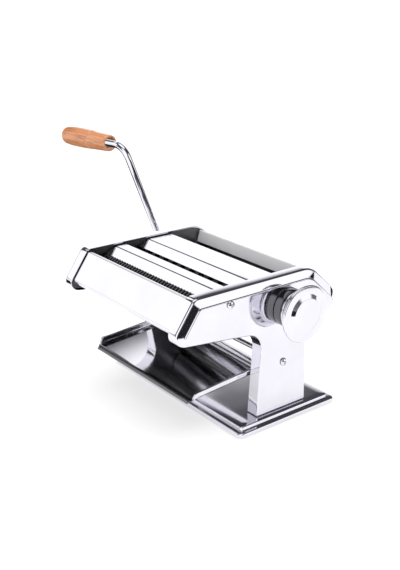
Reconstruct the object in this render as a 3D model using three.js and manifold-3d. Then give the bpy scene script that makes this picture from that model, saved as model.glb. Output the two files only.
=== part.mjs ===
// Hand-cranked pasta roller machine: a pair of smooth rollers for rolling dough, two pairs of cutter
// rollers, a gap knob, a noodle slide and a removable crank, on a pressed steel base.
// Millimetres. X runs along the rollers, with the knob at +X and the crank at -X; the cutters
// overhang to -Y; Z is up, and the rubber feet stand on Z = 0.
import * as THREE from "three";
import { mergeVertices } from "three/addons/utils/BufferGeometryUtils.js";
import Module from "manifold-3d";

const wasm = await Module();
wasm.setup();

// Driving dimensions
const GAP = 0.3; // between neighbouring pieces
const SHEET = 1.2; // pressed steel of the side plates and the base
const COVER_SHEET = 1; // steel of the covers and the slide

// Side plates: a rim flange that turns inwards, a chamfered edge, and a raised face.
const RIM_X = 84; // outer edge of the rim
const FLANGE_X = 74; // inner edge of the flange
const FACE_X = 86.5; // raised outer face
const CHAMFER = 8.5; // width of the chamfer along the top and front edges
const PLATE_TOP = 133;
const PLATE_FOOT = 8.3;
// Corners of the side plate's outline: [y, z, corner radius], anticlockwise seen from +X.
const TOP_REAR = [58.5, PLATE_TOP, 26];
const TOP_FRONT = [-70.5, PLATE_TOP, 5];
const NOSE = [-95.2, 97.6, 7];
const REAR_TOP = [84.8, 109.5, 9];
const PLATE_CORNERS = [
  [55, PLATE_FOOT, 0],
  [52, 66, 9],
  [84.8, 93, 8],
  REAR_TOP,
  TOP_REAR,
  TOP_FRONT,
  NOSE,
  [1.5, 86, 17],
  [-3, PLATE_FOOT, 0],
];

// Bearing walls inside the side plates
const WALL_X = 75.3; // inner face
const WALL = 2.5; // thickness

// Rollers: [y, z] of each axis, and radii. The nip slopes, so the dough enters from behind.
const ROLLER_RADIUS = 13.3;
const ROLLER_AXLE = 6;
const ROLLER_HALF = 74.7;
const DRIVE_AXIS = [43, 81.4];
const KNOB_AXIS = [28.5, 104.4];
const NIP_TRAVEL = 2.4; // how far the adjustable roller backs away
const CUTTER_Z = 116.5;
const CUTTER_CENTRES = 15.6; // between the two axes of a pair
const CUTTER_RADIUS = 9; // over the cutting discs
const CUTTER_ROOT = 6.2; // between the discs
const CUTTER_AXLE = 4;
const NARROW_NIP_Y = -57;
const WIDE_NIP_Y = -16;
const WIDE_PITCH = 13; // two widths of a wide noodle
const BUSH_RADIUS = 8.5;

// Gears and crank sockets, between the far bearing wall and the far side plate
const GEAR_IN = -78.4;
const GEAR_OUT = -83.2;
const SOCKET_IN = -83.8;
const SOCKET_OUT = -90;
const SOCKET_RADIUS = 7.5;

// Tie rods across the frame: [name, y, z]
const TIE_RODS = [
  ["top", -35.5, 121.3],
  ["leg", 26, 53.5],
  ["rear", 64, 100],
];
const TIE_ROD_RADIUS = 2.6;
const SCREW_RADIUS = 1.9;

// Base
const BASE_HALF_X = 97;
const BASE_FRONT = -30.5;
const BASE_REAR = 84;
const BASE_BOTTOM = 1; // the rim clears the table by this
const BASE_TOP = 8;
const BASE_STEP_Z = 5;
const BASE_STEP = 5; // how far the step comes in
const FOOT_RADIUS = 9;

// Covers, each as [y, z] points of its outer surface
const COVER_HALF = 73.6;
const FRONT_COVER = [
  [-66.4, 127.6],
  [-66.6, 130.6],
  [-69.5, 131],
  [-86.3, 107],
  [-84.8, 103.4],
  [-79, 102],
];
const CUTTER_COVER = [[-50.5, 125.2], [-40, 131], [-28, 131], [-27.6, 126]];
const TOP_COVER = [[-13.5, 125.2], [-3, 131], [24.5, 131], [25, 125]];
const REAR_COVER = [
  [51.2, 98.2],
  [54.5, 108],
  [56.3, 118],
  [59.6, 128.7],
  [62.2, 127],
  [82.2, 108.9],
  [82.2, 95],
  [78, 90.5],
];

// Noodle slide between the legs
const SLIDE_HALF = 75.5;
const SLIDE_WALL = 6; // height of its sides
const SLIDE_REAR = 30;
const SLIDE_FRONT = -62;
const SLIDE_SLOPE = 0.076;
const SLIDE_RIM_AT_ZERO = 48.2; // height of its rim at y = 0

// Gap knob
const COLLAR_RADIUS = 17;
const COLLAR_IN = 86.9;
const COLLAR_OUT = 96.5;
const KNOB_IN = 97;
const KNOB_OUT = 110.5;
const KNOB_RADIUS = 25.2;
const SHAFT_RADIUS = 5;

// Crank: the arm leans outwards, and the grip points outwards, dropping a little.
const CRANK_RADIUS = 3.3;
const CRANK_IN = -84.2;
const CRANK_BEND = new THREE.Vector3(-97, ...DRIVE_AXIS);
const CRANK_TOP = new THREE.Vector3(-112, -3.3, 213.3);
const GRIP_AXIS = new THREE.Vector3(-1, 0, -0.05).normalize();
const LOWER_BEND = 9; // from each corner to where its bend starts and ends
const UPPER_BEND = 15;
const GRIP_START = 23.5; // from the crank's upper corner to the grip's mouth
const GRIP_LENGTH = 86.5;
const GRIP_RADIUS = 9.7;
const PIN_LENGTH = 98;

// Materials: [colour, roughness, metalness]
const CHROME = [0xe4e6ea, 0.12, 1];
const STEEL = [0xc2c5ca, 0.28, 1];
const DARK_STEEL = [0x8d9094, 0.4, 1];
const BRASS = [0xc9a35a, 0.35, 1];
const WOOD = [0xd98f4e, 0.5, 0];
const RUBBER = [0x1c1c1e, 0.85, 0];
const PLASTIC = [0x2a2a2c, 0.45, 0];

const machine = new THREE.Group();

function add(name, geometry, [color, roughness, metalness], parent = machine) {
  const material = new THREE.MeshStandardMaterial({ color, roughness, metalness });
  const mesh = new THREE.Mesh(geometry, material);
  mesh.name = name;
  parent.add(mesh);
  return mesh;
}

// Outlines in the YZ plane -----------------------------------------------------------------------

// A closed outline whose corners [y, z, radius] are rounded by arcs.
function roundedOutline(corners, segments = 5) {
  return corners.flatMap(([y, z, radius], i) => {
    const corner = new THREE.Vector2(y, z);
    if (!radius) return [corner];
    const before = new THREE.Vector2(...corners.at(i - 1)).sub(corner).normalize();
    const after = new THREE.Vector2(...corners[(i + 1) % corners.length]).sub(corner).normalize();
    const half = Math.acos(before.dot(after)) / 2;
    const centre = before.clone().add(after).setLength(radius / Math.sin(half)).add(corner);
    const start = before.clone().multiplyScalar(radius / Math.tan(half)).add(corner).sub(centre);
    const end = after.clone().multiplyScalar(radius / Math.tan(half)).add(corner).sub(centre);
    const sweep = Math.atan2(start.cross(end), start.dot(end));
    return Array.from({ length: segments + 1 }, (_, k) =>
      start.clone().rotateAround(new THREE.Vector2(), (sweep * k) / segments).add(centre),
    );
  });
}

// The points of a path moved sideways to its left, with mitred corners.
function offset(points, distance, closed) {
  const last = points.length - 1;
  return points.map((point, i) => {
    const before = points[i === 0 ? (closed ? last : 0) : i - 1];
    const after = points[i === last ? (closed ? 0 : last) : i + 1];
    const into = point.clone().sub(before).normalize();
    const out = after.clone().sub(point).normalize();
    if (before === point) into.copy(out);
    if (after === point) out.copy(into);
    const normal = new THREE.Vector2(-into.y - out.y, into.x + out.x);
    return normal.multiplyScalar(distance / (1 + into.dot(out))).add(point);
  });
}

// The outline of a bent sheet whose outer surface follows the points [y, z].
function sheetOutline(corners, thickness) {
  const outer = corners.map((corner) => new THREE.Vector2(...corner));
  return [...outer, ...offset(outer, thickness, false).reverse()];
}

function circle([y, z], radius, segments = 16) {
  return Array.from({ length: segments }, (_, i) => {
    const angle = (2 * Math.PI * i) / segments;
    return new THREE.Vector2(y + radius * Math.cos(angle), z + radius * Math.sin(angle));
  });
}

// A hole that lets a round bush of the radius slide by the travel vector.
function slot([y, z], radius, travel, segments = 16) {
  return circle([y, z], radius, segments).map((point) => {
    const outward = point.clone().sub(new THREE.Vector2(y, z));
    return outward.dot(travel) > 0 ? point.add(travel) : point;
  });
}

// Solids -----------------------------------------------------------------------------------------

const YZ_TO_X = new THREE.Matrix4().makeBasis(
  new THREE.Vector3(0, 1, 0),
  new THREE.Vector3(0, 0, 1),
  new THREE.Vector3(1, 0, 0),
);

// A YZ outline, with holes, extruded from x0 to x1.
function extrudeX(outline, x0, x1, holes = []) {
  const shape = new THREE.Shape(outline);
  shape.holes = holes.map((hole) => new THREE.Path(hole));
  const geometry = new THREE.ExtrudeGeometry(shape, { depth: x1 - x0, bevelEnabled: false });
  return geometry.applyMatrix4(YZ_TO_X).translate(x0, 0, 0);
}

// An XY outline extruded from z0 to z1.
function extrudeZ(outline, z0, z1) {
  const depth = z1 - z0;
  const geometry = new THREE.ExtrudeGeometry(new THREE.Shape(outline), { depth, bevelEnabled: false });
  return geometry.translate(0, 0, z0);
}

// A profile of [x, radius] points turned about the axis through [y, z]; it starts and ends on the
// axis or closes on itself.
function turn(profile, [y, z], segments = 24) {
  const points = profile.map(([x, radius]) => new THREE.Vector2(radius, x));
  return new THREE.LatheGeometry(points, segments).rotateZ(-Math.PI / 2).translate(0, y, z);
}

function ring(x0, x1, inner, outer, axis, segments = 24) {
  const profile = [[x0, inner], [x0, outer], [x1, outer], [x1, inner], [x0, inner]];
  return turn(profile, axis, segments);
}

function rod(x0, x1, radius, axis, segments = 12) {
  return turn([[x0, 0], [x0, radius], [x1, radius], [x1, 0]], axis, segments);
}

function solid(geometry) {
  const plain = geometry.clone();
  plain.deleteAttribute("normal");
  plain.deleteAttribute("uv");
  const merged = mergeVertices(plain, 1e-4);
  const vertProperties = merged.attributes.position.array;
  const triVerts = new Uint32Array(merged.index.array);
  return new wasm.Manifold(new wasm.Mesh({ numProp: 3, vertProperties, triVerts }));
}

function geometryOf(body) {
  const { vertProperties, triVerts } = body.getMesh();
  const geometry = new THREE.BufferGeometry();
  geometry.setAttribute("position", new THREE.BufferAttribute(vertProperties, 3));
  geometry.setIndex(new THREE.BufferAttribute(triVerts, 1));
  return geometry;
}

// Base -------------------------------------------------------------------------------------------

function baseOutline(inset, radius) {
  const x = BASE_HALF_X - inset;
  const front = BASE_FRONT + inset;
  const rear = BASE_REAR - inset;
  const corners = [[-x, front], [x, front], [x, rear], [-x, rear]];
  return roundedOutline(corners.map((corner) => [...corner, radius]), 3);
}

function basePlate() {
  const rim = solid(extrudeZ(baseOutline(0, 5), BASE_BOTTOM, BASE_STEP_Z));
  const table = solid(extrudeZ(baseOutline(BASE_STEP, 3), BASE_BOTTOM, BASE_TOP));
  const rimHollow = solid(extrudeZ(baseOutline(SHEET, 4), 0, BASE_STEP_Z - SHEET));
  const tableHollow = solid(extrudeZ(baseOutline(BASE_STEP + SHEET, 2), 0, BASE_TOP - SHEET));
  return geometryOf(rim.add(table).subtract(rimHollow).subtract(tableHollow));
}

add("base_plate", basePlate(), CHROME);
const FOOT_INSET = BASE_STEP + SHEET + FOOT_RADIUS + 2;
for (const [side, x] of [["left", -BASE_HALF_X + FOOT_INSET], ["right", BASE_HALF_X - FOOT_INSET]]) {
  for (const [end, y] of [["front", BASE_FRONT + FOOT_INSET], ["rear", BASE_REAR - FOOT_INSET]]) {
    const outline = circle([x, y], FOOT_RADIUS);
    add(`rubber_foot_${end}_${side}`, extrudeZ(outline, 0, BASE_TOP - SHEET - GAP), RUBBER);
  }
}

// Side plates and bearing walls ------------------------------------------------------------------

const outline = roundedOutline(PLATE_CORNERS);
const nipLine = new THREE.Vector2(...KNOB_AXIS).sub(new THREE.Vector2(...DRIVE_AXIS));
const nipTravel = nipLine.setLength(NIP_TRAVEL);

// A block that cuts the chamfer between two corners: it lies on a plane that leaves the rim at
// rimX and reaches the raised face CHAMFER mm in from the edge.
function chamferBlock([y0, z0], [y1, z1], rimX) {
  const along = new THREE.Vector3(0, y1 - y0, z1 - z0).normalize();
  const rise = (FACE_X - RIM_X) / CHAMFER;
  const inward = new THREE.Vector3(rise, -along.z, along.y).normalize();
  const up = new THREE.Vector3().crossVectors(along, inward);
  const middle = new THREE.Vector3(rimX, (y0 + y1) / 2, (z0 + z1) / 2);
  const block = new THREE.BoxGeometry(300, 60, 20).translate(0, 0, 10);
  block.applyMatrix4(new THREE.Matrix4().makeBasis(along, inward, up).setPosition(middle));
  return solid(block);
}

function chamfered(body, inset) {
  const edges = [[REAR_TOP, TOP_REAR], [TOP_REAR, TOP_FRONT], [TOP_FRONT, NOSE]];
  return edges.reduce((rest, [from, to]) => rest.subtract(chamferBlock(from, to, RIM_X - inset)), body);
}

// The plate at +X; the one at -X is its mirror image, with its own holes.
function sidePlate(side, holes) {
  const inner = offset(outline, SHEET, true);
  const outside = chamfered(solid(extrudeX(outline, FLANGE_X, FACE_X)), 0);
  const inside = chamfered(solid(extrudeX(inner, FLANGE_X - 1, FACE_X - SHEET)), SHEET);
  const shell = holes.reduce(
    (rest, [axis, radius]) => rest.subtract(solid(rod(FLANGE_X, FACE_X + 5, radius, axis, 16))),
    outside.subtract(inside),
  );
  return geometryOf(side > 0 ? shell : shell.mirror([1, 0, 0]));
}

const [NARROW_FRONT, NARROW_REAR] = [-1, 1].map((s) => [NARROW_NIP_Y + (s * CUTTER_CENTRES) / 2, CUTTER_Z]);
const [WIDE_FRONT, WIDE_REAR] = [-1, 1].map((s) => [WIDE_NIP_Y + (s * CUTTER_CENTRES) / 2, CUTTER_Z]);
const SOCKET_AXES = { roller: DRIVE_AXIS, narrow_cutter: NARROW_FRONT, wide_cutter: WIDE_REAR };
const screwHoles = TIE_RODS.map(([, y, z]) => [[y, z], SCREW_RADIUS + GAP]);
const socketHoles = Object.values(SOCKET_AXES).map((axis) => [axis, SOCKET_RADIUS + GAP]);

add("side_plate_right", sidePlate(1, [...screwHoles, [KNOB_AXIS, SHAFT_RADIUS + GAP]]), CHROME);
add("side_plate_left", sidePlate(-1, [...screwHoles, ...socketHoles]), CHROME);

const wallOutline = offset(outline, SHEET + 2 * GAP, true);
const wallHoles = [
  circle(DRIVE_AXIS, BUSH_RADIUS + GAP),
  slot(KNOB_AXIS, BUSH_RADIUS + GAP, nipTravel),
  ...[NARROW_FRONT, NARROW_REAR, WIDE_FRONT, WIDE_REAR].map((axis) => circle(axis, CUTTER_AXLE + GAP)),
  ...TIE_RODS.map(([, y, z]) => circle([y, z], SCREW_RADIUS + GAP, 10)),
];
add("bearing_wall_right", extrudeX(wallOutline, WALL_X, WALL_X + WALL, wallHoles), STEEL);
add("bearing_wall_left", extrudeX(wallOutline, -WALL_X - WALL, -WALL_X, wallHoles), STEEL);

// Tie rods with a screw at each end --------------------------------------------------------------

for (const [place, y, z] of TIE_RODS) {
  add(`tie_rod_${place}`, rod(GAP - WALL_X, WALL_X - GAP, TIE_ROD_RADIUS, [y, z]), STEEL);
  const head = FACE_X + GAP;
  const profile = [
    [WALL_X, 0],
    [WALL_X, SCREW_RADIUS],
    [head, SCREW_RADIUS],
    [head, 3.6],
    [head + 1, 3.4],
    [head + 1.9, 1.8],
    [head + 2.1, 0],
  ];
  const mirrored = profile.map(([x, radius]) => [-x, radius]).reverse();
  add(`screw_${place}_right`, turn(profile, [y, z], 12), CHROME);
  add(`screw_${place}_left`, turn(mirrored, [y, z], 12), CHROME);
}

// Covers -----------------------------------------------------------------------------------------

function cover(name, corners, side = 1) {
  const sheet = sheetOutline(corners, side * COVER_SHEET);
  add(name, extrudeX(side > 0 ? sheet : sheet.reverse(), -COVER_HALF, COVER_HALF), CHROME);
}

cover("front_cover", FRONT_COVER);
cover("cutter_cover", CUTTER_COVER, -1);
cover("top_cover", TOP_COVER, -1);
cover("rear_cover", REAR_COVER, -1);

// Noodle slide -----------------------------------------------------------------------------------

const rimZ = (y) => SLIDE_RIM_AT_ZERO + SLIDE_SLOPE * y;
const floorZ = (y) => rimZ(y) - SLIDE_WALL;
const LEG_ROD = TIE_RODS[1].slice(1);

function slideSide(side) {
  const wall = roundedOutline([
    [SLIDE_FRONT, floorZ(SLIDE_FRONT) - COVER_SHEET, 0],
    [SLIDE_REAR, floorZ(SLIDE_REAR) - COVER_SHEET, 0],
    [SLIDE_REAR, LEG_ROD[1] + 5, 3],
    [LEG_ROD[0] - 6, LEG_ROD[1] + 5, 3],
    [LEG_ROD[0] - 6, rimZ(LEG_ROD[0] - 6), 0],
    [SLIDE_FRONT, rimZ(SLIDE_FRONT), 4],
  ]);
  const rimEnd = LEG_ROD[0] - 8;
  const rim = roundedOutline([
    [SLIDE_FRONT + 4, rimZ(SLIDE_FRONT + 4) - COVER_SHEET, 0],
    [rimEnd, rimZ(rimEnd) - COVER_SHEET, 0],
    [rimEnd, rimZ(rimEnd), 0],
    [SLIDE_FRONT + 4, rimZ(SLIDE_FRONT + 4), 0],
  ]);
  const inner = SLIDE_HALF - 5;
  const [x0, x1] = side > 0 ? [inner, inner + COVER_SHEET] : [-inner - COVER_SHEET, -inner];
  const [r0, r1] = side > 0 ? [inner, SLIDE_HALF - 2] : [2 - SLIDE_HALF, -inner];
  const eye = circle(LEG_ROD, TIE_ROD_RADIUS + GAP, 12);
  return solid(extrudeX(wall, x0, x1, [eye])).add(solid(extrudeX(rim, r0, r1)));
}

function noodleSlide() {
  const lip = [SLIDE_FRONT - 4.5, floorZ(SLIDE_FRONT) - 3.2];
  const path = [[SLIDE_REAR, floorZ(SLIDE_REAR)], [SLIDE_FRONT, floorZ(SLIDE_FRONT)], lip];
  const inner = SLIDE_HALF - 5 + COVER_SHEET;
  const floor = solid(extrudeX(sheetOutline(path, COVER_SHEET), -inner, inner));
  return geometryOf(floor.add(slideSide(-1)).add(slideSide(1)));
}

add("noodle_slide", noodleSlide(), CHROME);

// Gears and sockets ------------------------------------------------------------------------------

// A spur gear on an axis: its first tooth, or its first gap, points along the angle.
function gear(name, axis, teeth, pitchRadius, bore, angle, startsWithGap) {
  const pitch = (2 * Math.PI) / teeth;
  const module = (2 * pitchRadius) / teeth;
  const shape = [[-0.3, -1.15], [-0.15, 0.85], [0.15, 0.85], [0.3, -1.15]];
  const outline = Array.from({ length: teeth }, (_, i) =>
    shape.map(([turnPart, height]) => {
      const a = angle + pitch * (i + (startsWithGap ? 0.5 : 0) + turnPart);
      const radius = pitchRadius + height * module;
      return new THREE.Vector2(axis[0] + radius * Math.cos(a), axis[1] + radius * Math.sin(a));
    }),
  ).flat();
  add(name, extrudeX(outline, GEAR_OUT, GEAR_IN, [circle(axis, bore, 12)]), DARK_STEEL);
}

// Two gears of the same size in mesh on the line between their axes.
function gearPair(names, axes, teeth, bore) {
  const [from, to] = axes.map((axis) => new THREE.Vector2(...axis));
  const line = to.clone().sub(from);
  const pitchRadius = line.length() / 2;
  gear(names[0], axes[0], teeth, pitchRadius, bore, line.angle(), false);
  gear(names[1], axes[1], teeth, pitchRadius, bore, line.angle() + Math.PI, true);
}

gearPair(["drive_roller_gear", "adjustable_roller_gear"], [DRIVE_AXIS, KNOB_AXIS], 20, ROLLER_AXLE + GAP);
for (const [gears, axes] of [
  [["narrow_cutter_gear_front", "narrow_cutter_gear_rear"], [NARROW_FRONT, NARROW_REAR]],
  [["wide_cutter_gear_rear", "wide_cutter_gear_front"], [WIDE_REAR, WIDE_FRONT]],
]) {
  gearPair(gears, axes, 12, CUTTER_AXLE + GAP);
}

for (const [name, axis] of Object.entries(SOCKET_AXES)) {
  const geometry = ring(SOCKET_OUT, SOCKET_IN, CRANK_RADIUS + GAP, SOCKET_RADIUS, axis);
  add(`${name}_crank_socket`, geometry, STEEL);
}

// Smooth rollers ---------------------------------------------------------------------------------

function roller(radius, axle, profile = [[-ROLLER_HALF, radius], [ROLLER_HALF, radius]]) {
  const [left, right] = [GEAR_OUT, WALL_X + WALL];
  const leftEnd = [[left, 0], [left, axle], [-ROLLER_HALF, axle]];
  const rightEnd = [[ROLLER_HALF, axle], [right, axle], [right, 0]];
  return [...leftEnd, ...profile, ...rightEnd];
}

add("drive_roller", turn(roller(ROLLER_RADIUS, ROLLER_AXLE), DRIVE_AXIS, 32), CHROME);
add("adjustable_roller", turn(roller(ROLLER_RADIUS, ROLLER_AXLE), KNOB_AXIS, 32), CHROME);
for (const [side, x] of [["left", -WALL_X - WALL], ["right", WALL_X]]) {
  const bush = (axis) => ring(x + GAP / 3, x + WALL - GAP / 3, ROLLER_AXLE + GAP, BUSH_RADIUS, axis, 16);
  add(`drive_roller_bush_${side}`, bush(DRIVE_AXIS), BRASS);
  add(`roller_carrier_${side}`, bush(KNOB_AXIS), BRASS);
}

// Cutter rollers ---------------------------------------------------------------------------------

// Discs at the wide pitch along the roller, the first one starting at x.
function wideDiscs(first) {
  const land = WIDE_PITCH / 2 - 2 * GAP;
  const profile = [[-ROLLER_HALF, CUTTER_ROOT]];
  for (let x = first; x + land < ROLLER_HALF; x += WIDE_PITCH) {
    profile.push([x, CUTTER_ROOT], [x, CUTTER_RADIUS], [x + land, CUTTER_RADIUS], [x + land, CUTTER_ROOT]);
  }
  return [...profile, [ROLLER_HALF, CUTTER_ROOT]];
}

const narrowRadius = (CUTTER_CENTRES - GAP) / 2; // half-way between the discs' tips and roots
const narrow = roller(narrowRadius, CUTTER_AXLE);
add("narrow_cutter_front", turn(narrow, NARROW_FRONT, 20), STEEL);
add("narrow_cutter_rear", turn(narrow, NARROW_REAR, 20), STEEL);
const firstDisc = 2 - ROLLER_HALF;
const wideFront = roller(CUTTER_RADIUS, CUTTER_AXLE, wideDiscs(firstDisc));
const wideRear = roller(CUTTER_RADIUS, CUTTER_AXLE, wideDiscs(firstDisc + WIDE_PITCH / 2));
add("wide_cutter_front", turn(wideFront, WIDE_FRONT, 14), STEEL);
add("wide_cutter_rear", turn(wideRear, WIDE_REAR, 14), STEEL);

// Scrapers under the smooth rollers and strippers under the cutters ------------------------------

const STRIPS = {
  adjustable_roller_scraper: [[1.5, 92.5], [14, 99.5]],
  drive_roller_scraper: [[18, 69.6], [29.4, 76.2]],
  narrow_stripper_front: [[-76, 104], [-66, 106]],
  narrow_stripper_rear: [[-48, 106], [-39, 104]],
  wide_stripper_front: [[-34, 104], [-25, 106]],
  wide_stripper_rear: [[-7, 106], [2, 104]],
};
for (const [name, path] of Object.entries(STRIPS)) {
  add(name, extrudeX(sheetOutline(path, 0.8), -COVER_HALF, COVER_HALF), PLASTIC);
}

// Gap knob ---------------------------------------------------------------------------------------

add("knob_collar", ring(COLLAR_IN, COLLAR_OUT, SHAFT_RADIUS + GAP, COLLAR_RADIUS, KNOB_AXIS, 32), CHROME);

const CAM_IN = WALL_X + WALL + 0.6;
const shaft = [
  [CAM_IN, 0],
  [CAM_IN, 9],
  [CAM_IN + 4, 9],
  [CAM_IN + 4, SHAFT_RADIUS],
  [KNOB_IN + 6.5, SHAFT_RADIUS],
  [KNOB_IN + 6.5, 0],
];
add("adjuster_shaft", turn(shaft, KNOB_AXIS, 24), STEEL);

const knob = [
  [KNOB_IN + 7, 0],
  [KNOB_IN + 7, SHAFT_RADIUS + GAP],
  [KNOB_IN, SHAFT_RADIUS + GAP],
  [KNOB_IN, 18.2],
  [KNOB_IN + 2.5, 19],
  [KNOB_IN + 5.5, 21.9],
  [KNOB_IN + 8.5, 24.6],
  [KNOB_OUT - 2.9, KNOB_RADIUS],
  [KNOB_OUT - 1.8, KNOB_RADIUS - 0.9],
  [KNOB_OUT - 1.8, 17.6],
  [KNOB_OUT, 14.2],
  [KNOB_OUT, 0],
];
add("gap_knob", turn(knob, KNOB_AXIS, 40), CHROME);

// Crank and grip ---------------------------------------------------------------------------------

const armDirection = CRANK_TOP.clone().sub(CRANK_BEND).normalize();

function along(from, direction, distance) {
  return direction.clone().multiplyScalar(distance).add(from);
}

function crankPath() {
  const inward = new THREE.Vector3(1, 0, 0);
  const down = armDirection.clone().negate();
  const start = CRANK_BEND.clone().setX(CRANK_IN);
  const bendIn = along(CRANK_BEND, inward, LOWER_BEND);
  const bendOut = along(CRANK_BEND, armDirection, LOWER_BEND);
  const topIn = along(CRANK_TOP, down, UPPER_BEND);
  const topOut = along(CRANK_TOP, GRIP_AXIS, UPPER_BEND);
  const path = new THREE.CurvePath();
  path.add(new THREE.LineCurve3(start, bendIn));
  path.add(new THREE.QuadraticBezierCurve3(bendIn, CRANK_BEND, bendOut));
  path.add(new THREE.LineCurve3(bendOut, topIn));
  path.add(new THREE.QuadraticBezierCurve3(topIn, CRANK_TOP, topOut));
  path.add(new THREE.LineCurve3(topOut, along(CRANK_TOP, GRIP_AXIS, PIN_LENGTH)));
  return path;
}

const crankSection = new THREE.Shape(circle([0, 0], CRANK_RADIUS, 10));
add("crank_rod", new THREE.ExtrudeGeometry(crankSection, { steps: 64, extrudePath: crankPath() }), CHROME);

// The grip and its washer lie along the group's own X axis, which points out along the crank's pin.
const gripGroup = new THREE.Group();
gripGroup.position.copy(CRANK_TOP);
gripGroup.quaternion.setFromUnitVectors(new THREE.Vector3(1, 0, 0), GRIP_AXIS);
machine.add(gripGroup);
const BORE = CRANK_RADIUS + GAP;
const gripEnd = GRIP_START + GRIP_LENGTH;
const grip = [
  [PIN_LENGTH + 1, 0],
  [PIN_LENGTH + 1, BORE],
  [GRIP_START + 7, BORE],
  [GRIP_START + 7, 5.4],
  [GRIP_START, 5.8],
  [GRIP_START, 7.4],
  [GRIP_START + 1.5, 8],
  [GRIP_START + 30, 8.9],
  [GRIP_START + 31.2, 8.4],
  [GRIP_START + 32.4, 9.3],
  [GRIP_START + 50, GRIP_RADIUS],
  [gripEnd - 20, GRIP_RADIUS],
  [gripEnd - 8, 8.9],
  [gripEnd - 2.5, 6.6],
  [gripEnd - 0.4, 3.2],
  [gripEnd, 0],
];
add("crank_grip", turn(grip, [0, 0], 20), WOOD, gripGroup);

// The machine stands with the middle of its bounding box over the origin.
const bounds = new THREE.Box3().setFromObject(machine, true);
const middle = bounds.getCenter(new THREE.Vector3());
machine.position.set(-middle.x, -middle.y, 0);

export default machine;
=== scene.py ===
import math

import bmesh
import bpy
from mathutils import Matrix, Vector


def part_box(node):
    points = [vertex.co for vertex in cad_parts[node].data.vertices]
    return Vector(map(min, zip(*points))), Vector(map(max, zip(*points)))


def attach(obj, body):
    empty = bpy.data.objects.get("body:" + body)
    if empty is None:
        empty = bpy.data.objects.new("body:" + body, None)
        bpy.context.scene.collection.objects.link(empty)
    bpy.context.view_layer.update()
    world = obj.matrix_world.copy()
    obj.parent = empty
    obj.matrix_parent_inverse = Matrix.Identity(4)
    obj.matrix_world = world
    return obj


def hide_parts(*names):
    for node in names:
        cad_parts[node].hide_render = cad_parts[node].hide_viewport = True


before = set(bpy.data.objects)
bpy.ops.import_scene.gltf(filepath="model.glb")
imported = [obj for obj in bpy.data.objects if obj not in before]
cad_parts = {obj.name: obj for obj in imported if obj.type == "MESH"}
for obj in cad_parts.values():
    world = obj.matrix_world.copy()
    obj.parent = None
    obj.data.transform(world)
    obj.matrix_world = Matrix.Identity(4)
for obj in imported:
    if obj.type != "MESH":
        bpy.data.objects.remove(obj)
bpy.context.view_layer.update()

# The visual model of a hand-cranked pasta roller machine. Shapes are written in millimetres on the
# machine's own axes: X along the rollers from the middle of the base, Y to the rear, Z up from the
# table. row() takes them to the row frame, in metres.

MM = 0.001

# Dimensions, mm -----------------------------------------------------------------------------------

BASE_HALF_X = 97
BASE_FRONT = -30.5
BASE_REAR = 84

DRIVE_AXIS = (43, 81.4)
KNOB_AXIS = (28.5, 104.4)
ROLLER_RADIUS = 13.3
CUTTER_Z = 116.5
CUTTER_CENTRES = 15.6
NARROW_NIP_Y = -57
WIDE_NIP_Y = -16
TIE_RODS = {"top": (-35.5, 121.3), "leg": (26, 53.5), "rear": (64, 100)}
ROLLER_HALF = 74.7
ROLLER_AXLE = 6
CUTTER_AXLE = 4
CUTTER_RADIUS = 9
AXLE_LEFT = -83.2
AXLE_RIGHT = 77.8
SOCKETS = {
    "roller_crank_socket": ("drive_roller", DRIVE_AXIS),
    "narrow_cutter_crank_socket": ("narrow_front", (NARROW_NIP_Y - CUTTER_CENTRES / 2, CUTTER_Z)),
    "wide_cutter_crank_socket": ("wide_rear", (WIDE_NIP_Y + CUTTER_CENTRES / 2, CUTTER_Z)),
}

FLANGE_X = 74
RIM_X = 84
FACE_X = 86.5
CHAMFER = 8.5
EDGE = 1.1
SHEET = 1.2
# Side plate corners: [y, z, outer radius, inner radius, width of the chamfer after it]
PLATE_CORNERS = [
    (55, 8.3, 1.5, 1, EDGE),
    (52, 66, 9, 10, EDGE),
    (84.8, 93, 8, 7, EDGE),
    (84.8, 109.5, 9, 6, CHAMFER),
    (58.5, 133, 26, 18, CHAMFER),
    (-70.5, 133, 7, 4, CHAMFER),
    (-95.2, 97.6, 8.5, 5.5, EDGE),
    (1.5, 86, 17, 18, EDGE),
    (-3, 8.3, 1.5, 1, EDGE),
]

# Bent covers: outer surface [y, z, bend radius], and which side the metal's thickness lies on
COVERS = {
    "front_cover": (
        [
            (-66.4, 127.6, 0),
            (-66.6, 130.8, 1),
            (-69.5, 131, 2),
            (-86.3, 107, 3),
            (-84.8, 103.4, 2),
            (-79, 102, 0),
        ],
        1,
    ),
    "cutter_cover": ([(-50.5, 125.2, 0), (-40, 131, 8), (-28, 131, 2), (-27.6, 126, 0)], -1),
    "top_cover": ([(-13.5, 125.2, 0), (-3, 131, 8), (24.5, 131, 2), (25, 125, 0)], -1),
    "rear_cover": (
        [
            (51.2, 98.2, 0),
            (54.5, 108, 20),
            (56.3, 118, 20),
            (59.6, 128.7, 1.2),
            (62.2, 127, 6),
            (82.2, 108.9, 6),
            (82.2, 95, 3),
            (78, 90.5, 0),
        ],
        -1,
    ),
}
COVER_HALF = 73.6
COVER_SHEET = 1.0
CHUTE_REAR = 60.5
CHUTE_SATIN_Z = 117

FOOT_X = 79.8
FOOT_Y = {"front": -13.3, "rear": 66.8}

SLIDE_REAR = 30
SLIDE_FRONT = -62
SLIDE_HALF = 71
SLIDE_WALL = 6
SLIDE_WALL_END = 5
SLIDE_LIP = [(SLIDE_FRONT, 0, 0), (SLIDE_FRONT - 0.9, -0.1, 2), (SLIDE_FRONT - 4.2, -2.6, 0)]
SLIDE_SHEET = 0.9

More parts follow.
